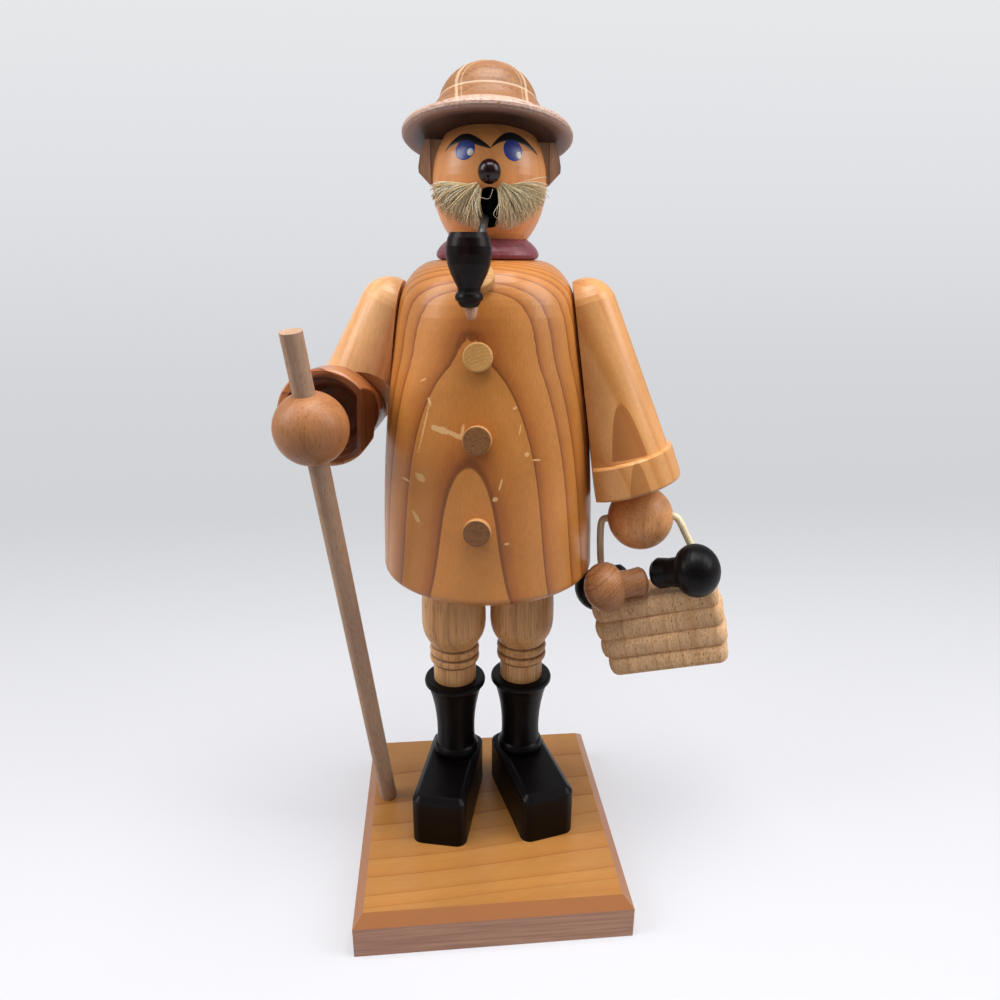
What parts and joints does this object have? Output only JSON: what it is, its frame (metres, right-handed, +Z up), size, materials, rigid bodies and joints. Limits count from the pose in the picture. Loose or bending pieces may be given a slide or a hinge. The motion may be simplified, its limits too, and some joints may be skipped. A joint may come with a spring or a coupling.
{
  "type": "incense smoker",
  "caption": "Turned wooden mushroom gatherer that smokes a pipe: lift-off hollow coat over an incense dish, bristle moustache, sliding walking stick, swinging basket",
  "frame": {"origin": "centre of the base board's underside", "axes": "+Z up along the figure, -Y the way the board and feet face, +X to the figure's left"},
  "size_m": [0.1616, 0.103, 0.2915],
  "materials": {
    "board_wood": "satin varnish over pine",
    "boot_black": "satin black stain",
    "leg_wood": "matt natural wood",
    "coat_wood": "glossy honey varnish",
    "disc_wood": "raw turned wood",
    "tin": "stamped bright tin",
    "button_wood": "varnished end grain",
    "collar_red": "satin wine-red stain",
    "head_wood": "satin peach stain",
    "hair_brown": "matt brown stain",
    "hat_wood": "brushed brown stain",
    "nose_brown": "glossy dark stain",
    "bristle": "pale natural bristle",
    "pipe_dark": "glossy dark stain",
    "cane": "pale natural cane",
    "hand_wood": "satin beech",
    "stick_wood": "raw weathered dowel",
    "basket_wood": "raw ribbed wood",
    "mushroom_brown": "satin brown stain",
    "mushroom_black": "satin charcoal stain"
  },
  "bodies": {
    "base": {"base_board": "board_wood", "right_foot": "boot_black", "left_foot": "boot_black", "right_boot": "boot_black", "left_boot": "boot_black", "right_leg": "leg_wood", "left_leg": "leg_wood", "hip_disc": "disc_wood"},
    "dish": {"incense_dish": "tin"},
    "figure": {"coat": "coat_wood", "neck_button": "button_wood", "top_button": "button_wood", "middle_button": "button_wood", "bottom_button": "button_wood", "collar": "collar_red", "neck_tube": "disc_wood", "head": "head_wood", "hair": "hair_brown", "hat": "hat_wood", "nose": "nose_brown", "right_moustache": "bristle", "left_moustache": "bristle", "pipe_bowl": "pipe_dark", "pipe_stem": "cane", "right_sleeve": "coat_wood", "right_forearm": "coat_wood", "left_sleeve": "coat_wood", "right_hand": "hand_wood", "left_hand": "hand_wood", "right_hand_pin": "disc_wood", "left_hand_pin": "disc_wood", "right_shoulder_pin": "disc_wood", "left_shoulder_pin": "disc_wood"},
    "stick": {"walking_stick": "stick_wood"},
    "basket": {"basket": "basket_wood", "basket_handle": "cane", "brown_mushroom": "mushroom_brown", "dark_mushroom": "mushroom_black", "rear_mushroom": "mushroom_black"}
  },
  "joints": [
    {"name": "figure_turn", "type": "hinge", "parent": "base", "child": "dish", "pos_m": [0.002, 0.0138, 0.1315], "axis": [0, 0, 1], "range_deg": [-30, 22]},
    {"name": "figure_lift", "type": "slide", "parent": "dish", "child": "figure", "axis": [0, 0, 1], "range_m": [0, 0.08]},
    {"name": "stick_slide", "type": "slide", "parent": "figure", "child": "stick", "axis": [-0.0863, -0.1746, 0.9809], "range_m": [0, 0.15]},
    {"name": "basket_swing", "type": "hinge", "parent": "figure", "child": "basket", "pos_m": [0.05688, 0.00022, 0.14361], "axis": [0.9417, -0.3151, 0.1184], "range_deg": [-25, 0]}
  ]
}
